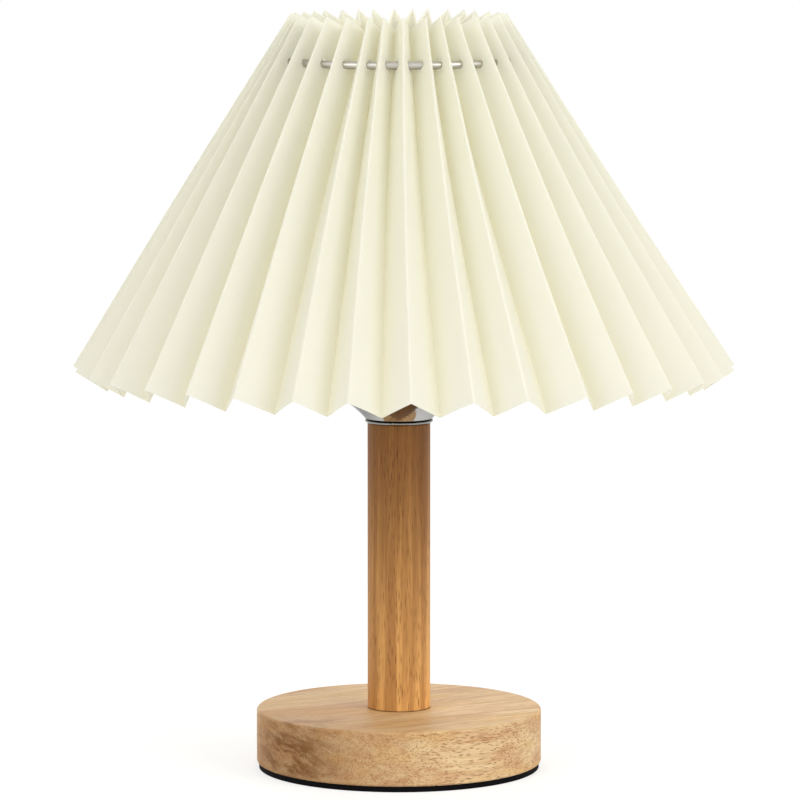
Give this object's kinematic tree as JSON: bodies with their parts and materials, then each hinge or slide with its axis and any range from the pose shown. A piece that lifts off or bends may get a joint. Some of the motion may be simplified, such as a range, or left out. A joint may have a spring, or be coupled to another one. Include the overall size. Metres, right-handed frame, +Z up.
{
  "type": "table lamp",
  "caption": "Table lamp with a round wooden base and post, a chrome cup under the lampholder and a conical pleated fabric shade on a wire hoop.",
  "frame": {"origin": "on the desk under the centre of the base", "axes": "+Z up along the post, -Y towards the viewer of the picture, +X to the viewer's right"},
  "size_m": [0.2986, 0.2986, 0.3445],
  "materials": {
    "pad_foam": "matt closed-cell foam",
    "base_wood": "clear satin varnish",
    "post_wood": "clear satin varnish",
    "black_plastic": "moulded",
    "zinc_steel": "bright zinc plate",
    "chrome": "polished",
    "holder_plastic": "moulded, semi-gloss",
    "ring_plastic": "moulded, semi-gloss",
    "porcelain": "glazed",
    "brass": "stamped",
    "shell_metal": "nickel-plated, spun",
    "bulb_tip_metal": "bright",
    "bulb_insulation": "black, smooth",
    "bulb_cap_metal": "rolled thread, satin",
    "bulb_plastic": "moulded, semi-gloss",
    "board_white": "white solder mask",
    "led_yellow": "phosphor coat",
    "opal_globe": "opal, satin",
    "nickel_wire": "bright nickel plate",
    "cream_fabric": "fabric laminated on film, matt"
  },
  "bodies": {
    "stand": {"base_pad": "pad_foam", "base_disc": "base_wood", "cord_bush": "black_plastic", "base_nut": "zinc_steel", "base_washer": "zinc_steel", "threaded_tube": "zinc_steel", "post": "post_wood", "post_collar": "chrome", "socket_cup": "chrome", "cup_nut": "zinc_steel", "holder_cap": "holder_plastic", "holder_grub_screw": "zinc_steel", "holder_sleeve": "holder_plastic", "holder_core": "porcelain", "centre_contact": "brass", "shell_tab": "brass", "terminal_blocks": "brass", "terminal_screws": "zinc_steel", "screw_shell": "shell_metal"},
    "shade": {"fitter_ring": "nickel_wire", "arm_front": "nickel_wire", "arm_right": "nickel_wire", "arm_left": "nickel_wire", "shade_hoop": "nickel_wire", "hoop_sleeve": "nickel_wire", "pleated_shade": "cream_fabric"},
    "ring_washer": {"slip_washer": "zinc_steel"},
    "ring": {"grip_ring": "ring_plastic"},
    "bulb_foot": {"bulb_contact": "bulb_tip_metal"},
    "bulb": {"bulb_insulator": "bulb_insulation", "bulb_cap": "bulb_cap_metal", "bulb_housing": "bulb_plastic", "led_board": "board_white", "led_chips": "led_yellow", "bulb_globe": "opal_globe"}
  },
  "joints": [
    {"name": "shade_turn", "type": "hinge", "parent": "stand", "child": "shade", "pos_m": [0, 0, 0.1982], "axis": [0, 0, 1], "continuous": true},
    {"name": "ring_rise", "type": "slide", "parent": "stand", "child": "ring_washer", "axis": [0, 0, 1], "range_m": [0, 0.01]},
    {"name": "ring_turn", "type": "hinge", "parent": "ring_washer", "child": "ring", "pos_m": [0, 0, 0.2005], "axis": [0, 0, 1], "range_deg": [0, 1445]},
    {"name": "bulb_rise", "type": "slide", "parent": "stand", "child": "bulb_foot", "axis": [0, 0, 1], "range_m": [0, 0.01815]},
    {"name": "bulb_turn", "type": "hinge", "parent": "bulb_foot", "child": "bulb", "pos_m": [0, 0, 0.1884], "axis": [0, 0, 1], "range_deg": [0, 1805]}
  ],
  "couplings": [
    {"joint": "ring_turn", "follows": "ring_rise", "rad_per_m": 2513.3},
    {"joint": "bulb_turn", "follows": "bulb_rise", "rad_per_m": 1730.9}
  ]
}
